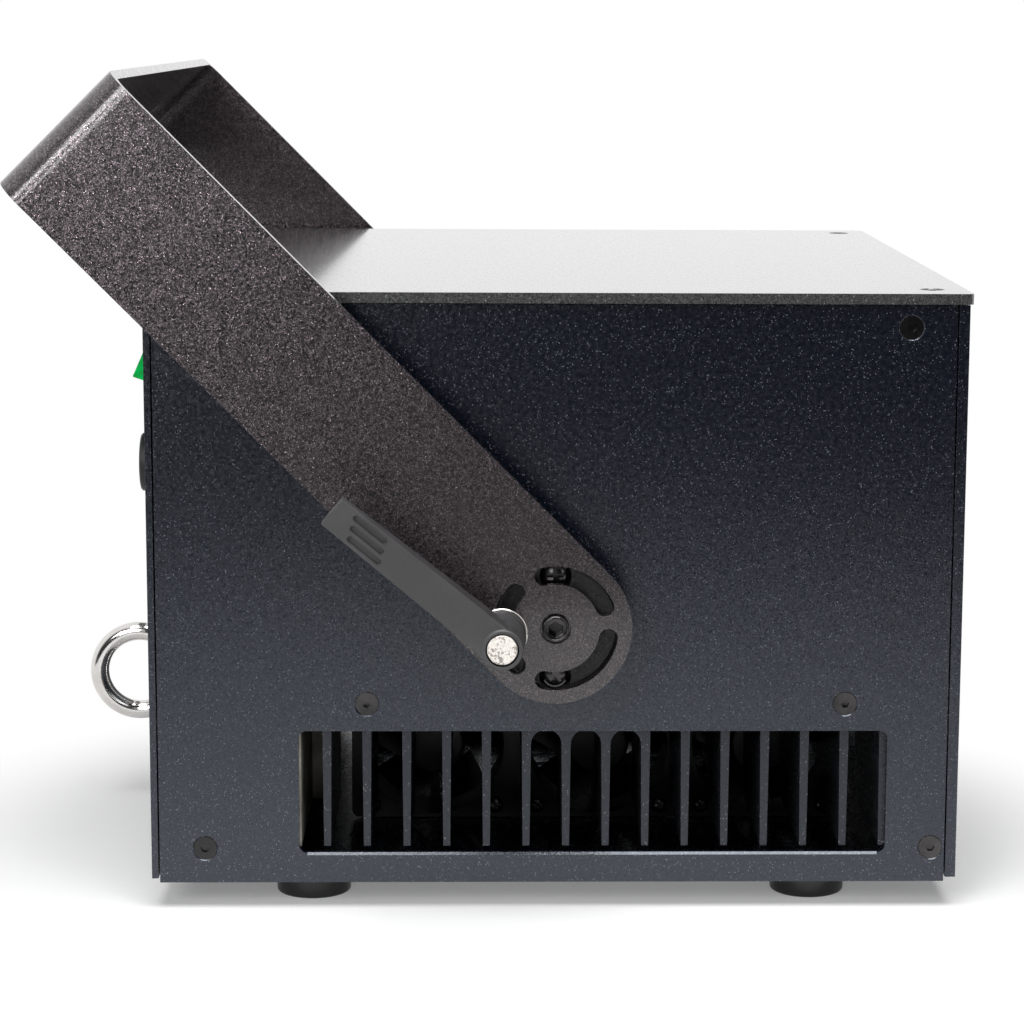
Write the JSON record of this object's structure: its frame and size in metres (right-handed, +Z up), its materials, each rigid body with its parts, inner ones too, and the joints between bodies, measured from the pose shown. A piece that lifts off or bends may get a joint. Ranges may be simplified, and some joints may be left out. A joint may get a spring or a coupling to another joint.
{
  "type": "laser show projector",
  "caption": "Laser show projector in a plate housing with finned side vents, fans and a front aperture with a sliding mask, hung in a tilting yoke bracket locked by clamp levers.",
  "frame": {"origin": "under the centre of the whole object's bounding box, on the plane that the rubber feet stand on", "axes": "+X is the way the laser beam leaves through the front aperture, +Y runs along the bracket's tilt axis to the left side as seen from behind the beam, +Z is up"},
  "size_m": [0.368, 0.4544, 0.3175],
  "materials": {
    "panel_coat": "fine sparkling blue-black powder coat",
    "cover_coat": "smooth dark coat that glares at a shallow angle",
    "bracket_coat": "speckled brown-grey powder coat",
    "fin_coat": "black anodised, matt",
    "hub_coat": "black anodised, satin",
    "bare_aluminium": "milled",
    "black_steel": "black oxide, oiled",
    "bright_steel": "zinc plated",
    "polished_steel": "polished stainless",
    "foot_rubber": "glossy black rubber",
    "black_plastic": "fine grain",
    "lever_plastic": "dark grey, lightly textured",
    "green_plastic": "translucent green",
    "circuit_board": "solder mask",
    "window_glass": "clear, coated",
    "mirror_face": "coated mirror"
  },
  "bodies": {
    "housing": {"side_panel_right": "panel_coat", "side_panel_left": "panel_coat", "top_cover": "cover_coat", "front_panel": "panel_coat", "rear_panel": "panel_coat", "base_tray": "panel_coat", "front_top_rail": "bare_aluminium", "rear_top_rail": "bare_aluminium", "rubber_foot_rear_right": "foot_rubber", "rubber_foot_rear_left": "foot_rubber", "rubber_foot_front_right": "foot_rubber", "rubber_foot_front_left": "foot_rubber", "optical_bench": "bare_aluminium", "heat_sink_right": "fin_coat", "heat_sink_left": "fin_coat", "fan_bank_right": "black_plastic", "fan_bank_left": "black_plastic", "hub_disc_right": "hub_coat", "hub_disc_left": "hub_coat", "pivot_screw_right": "black_steel", "pivot_screw_left": "black_steel", "clamp_washer_right": "bright_steel", "clamp_washer_left": "bright_steel", "switch_housing": "black_plastic", "mains_inlet": "black_plastic", "mains_outlet": "black_plastic", "signal_socket_1": "bright_steel", "signal_socket_2": "bright_steel", "control_board": "circuit_board", "key_switch_barrel": "bright_steel", "safety_eye": "polished_steel", "aperture_window": "window_glass", "laser_module_red": "hub_coat", "laser_module_green": "hub_coat", "laser_module_blue": "hub_coat", "combiner_mirror_red": "mirror_face", "combiner_mirror_green": "mirror_face", "combiner_mirror_blue": "mirror_face", "scanner_block": "bare_aluminium", "power_supply": "bare_aluminium", "scanner_driver_board": "circuit_board", "laser_driver_board": "circuit_board"},
    "yoke": {"bracket": "bracket_coat"},
    "right_clamp": {"clamp_lever_right": "lever_plastic", "clamp_stud_right": "bright_steel"},
    "left_clamp": {"clamp_lever_left": "lever_plastic", "clamp_stud_left": "bright_steel"},
    "rocker": {"switch_rocker": "green_plastic"},
    "turning_key": {"key": "bright_steel"},
    "right_fan_1": {"fan_rotor_1_right": "black_plastic"},
    "right_fan_2": {"fan_rotor_2_right": "black_plastic"},
    "right_fan_3": {"fan_rotor_3_right": "black_plastic"},
    "left_fan_1": {"fan_rotor_1_left": "black_plastic"},
    "left_fan_2": {"fan_rotor_2_left": "black_plastic"},
    "left_fan_3": {"fan_rotor_3_left": "black_plastic"},
    "horizontal_scanner": {"scan_mirror_horizontal": "mirror_face"},
    "vertical_scanner": {"scan_mirror_vertical": "mirror_face"},
    "mask": {"aperture_mask": "hub_coat"},
    "right_thumb_screw": {"thumb_screw_right": "black_steel"},
    "left_thumb_screw": {"thumb_screw_left": "black_steel"}
  },
  "joints": [
    {"name": "bracket_tilt", "type": "hinge", "parent": "housing", "child": "yoke", "pos_m": [0.01873, 0, 0.1136], "axis": [0, -1, 0], "range_deg": [-38, 47]},
    {"name": "clamp_lever_right_turn", "type": "hinge", "parent": "housing", "child": "right_clamp", "pos_m": [-0.0012, -0.2, 0.11186], "axis": [0, -1, 0], "continuous": true},
    {"name": "clamp_lever_left_turn", "type": "hinge", "parent": "housing", "child": "left_clamp", "pos_m": [-0.0012, 0.2, 0.11186], "axis": [0, 1, 0], "continuous": true},
    {"name": "switch_rock", "type": "hinge", "parent": "housing", "child": "rocker", "pos_m": [-0.13457, -0.141, 0.2125], "axis": [0, -1, 0], "range_deg": [0, 24]},
    {"name": "key_turn", "type": "hinge", "parent": "housing", "child": "turning_key", "pos_m": [-0.1375, 0.112, 0.2125], "axis": [1, 0, 0], "range_deg": [0, 90]},
    {"name": "fan_spin_right_1", "type": "hinge", "parent": "housing", "child": "right_fan_1", "pos_m": [-0.02827, -0.08, 0.0444], "axis": [0, 1, 0], "continuous": true},
    {"name": "fan_spin_right_2", "type": "hinge", "parent": "housing", "child": "right_fan_2", "pos_m": [0.03873, -0.08, 0.0444], "axis": [0, 1, 0], "continuous": true},
    {"name": "fan_spin_right_3", "type": "hinge", "parent": "housing", "child": "right_fan_3", "pos_m": [0.10573, -0.08, 0.0444], "axis": [0, 1, 0], "continuous": true},
    {"name": "fan_spin_left_1", "type": "hinge", "parent": "housing", "child": "left_fan_1", "pos_m": [-0.02827, 0.08, 0.0444], "axis": [0, 1, 0], "continuous": true},
    {"name": "fan_spin_left_2", "type": "hinge", "parent": "housing", "child": "left_fan_2", "pos_m": [0.03873, 0.08, 0.0444], "axis": [0, 1, 0], "continuous": true},
    {"name": "fan_spin_left_3", "type": "hinge", "parent": "housing", "child": "left_fan_3", "pos_m": [0.10573, 0.08, 0.0444], "axis": [0, 1, 0], "continuous": true},
    {"name": "scan_horizontal", "type": "hinge", "parent": "housing", "child": "horizontal_scanner", "pos_m": [0.1225, 0, 0.1158], "axis": [1, 0, 0], "range_deg": [-15, 15]},
    {"name": "scan_vertical", "type": "hinge", "parent": "housing", "child": "vertical_scanner", "pos_m": [0.12943, -0.008, 0.1318], "axis": [0, 1, 0], "range_deg": [-15, 15]},
    {"name": "mask_slide", "type": "slide", "parent": "housing", "child": "mask", "axis": [0, 0, 1], "range_m": [0, 0.03]},
    {"name": "thumb_screw_right_turn", "type": "hinge", "parent": "housing", "child": "right_thumb_screw", "pos_m": [0.178, -0.043, 0.0997], "axis": [1, 0, 0], "continuous": true},
    {"name": "thumb_screw_left_turn", "type": "hinge", "parent": "housing", "child": "left_thumb_screw", "pos_m": [0.178, 0.043, 0.0997], "axis": [1, 0, 0], "continuous": true}
  ]
}
